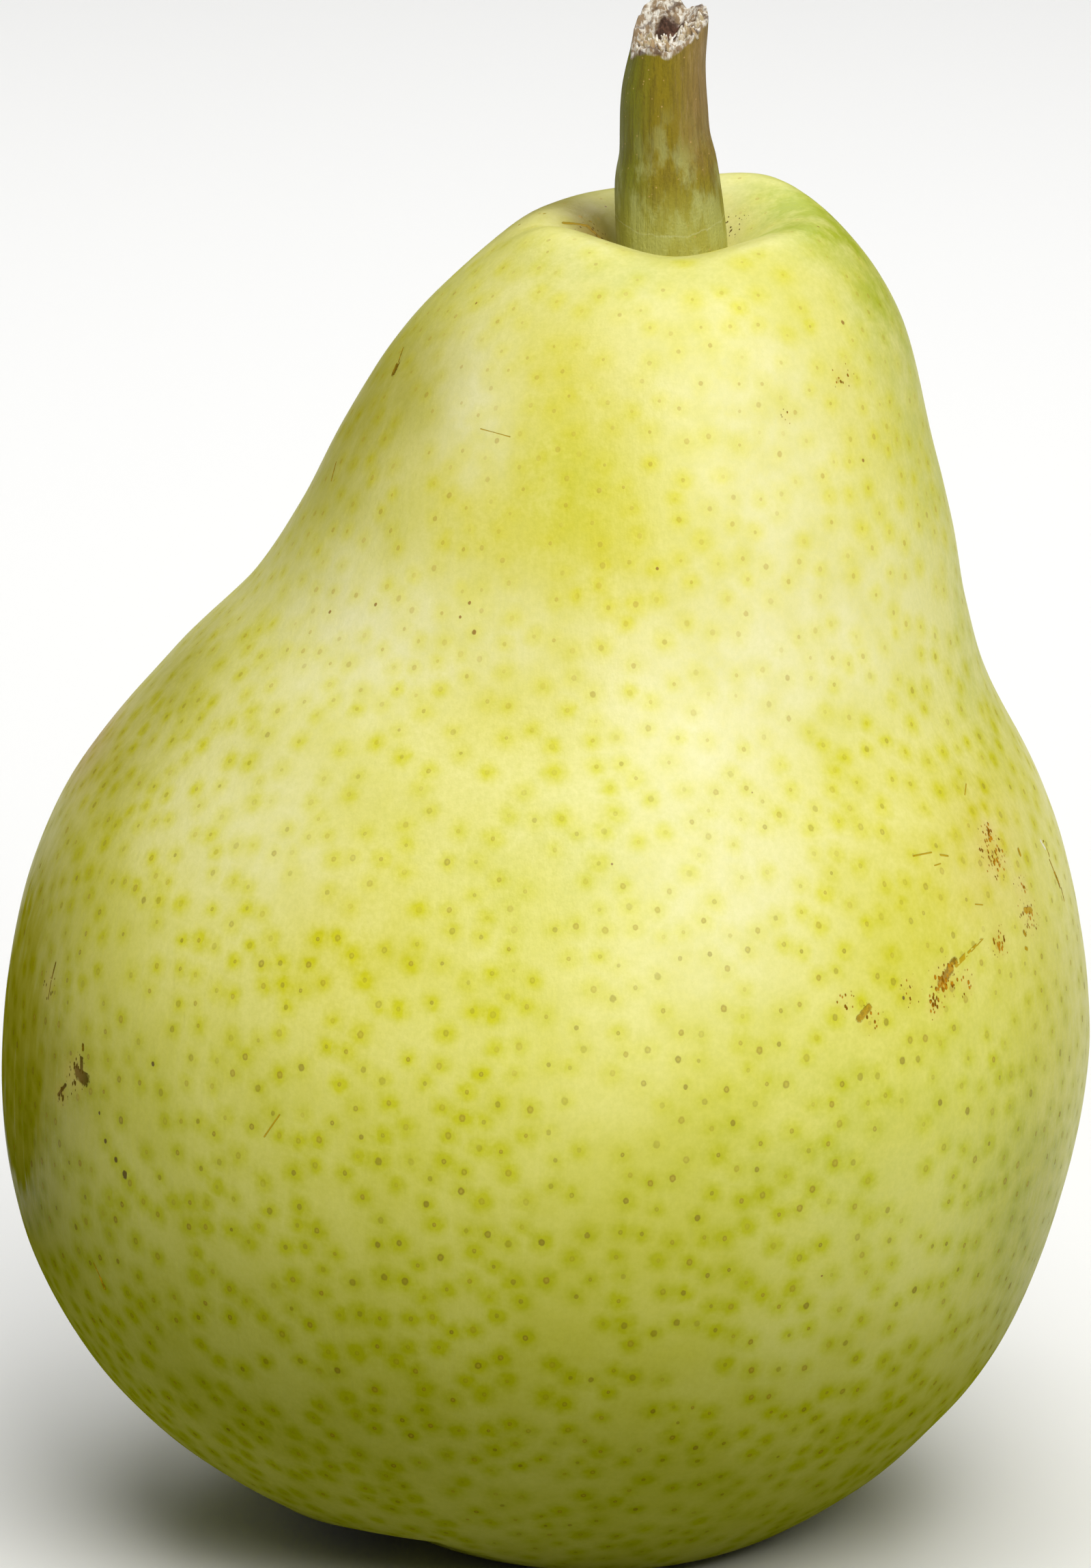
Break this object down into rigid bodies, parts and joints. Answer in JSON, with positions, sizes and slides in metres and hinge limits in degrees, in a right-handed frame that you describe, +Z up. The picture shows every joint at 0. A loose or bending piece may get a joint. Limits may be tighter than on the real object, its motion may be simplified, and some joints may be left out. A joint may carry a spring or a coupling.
{
  "type": "pear",
  "caption": "Whole fresh pear with its stem and dried calyx, leaning a little as it rests on the small flat spot at its base.",
  "frame": {"origin": "on the flat spot that the pear rests on, close to the foot of the plumb line through its centre of mass", "axes": "+Z up from the surface it stands on, +X the way the fruit leans, -Y the side that faces the viewer"},
  "size_m": [0.072, 0.0711, 0.1027],
  "materials": {
    "skin": "satin waxy pear skin, pale yellow green with fine olive dots",
    "bark": "green stem turning woody and brown towards its torn top",
    "dried_sepal": "dry brown withered sepals"
  },
  "bodies": {
    "root": {"fruit": "skin", "stem": "bark", "calyx": "dried_sepal"}
  },
  "joints": []
}
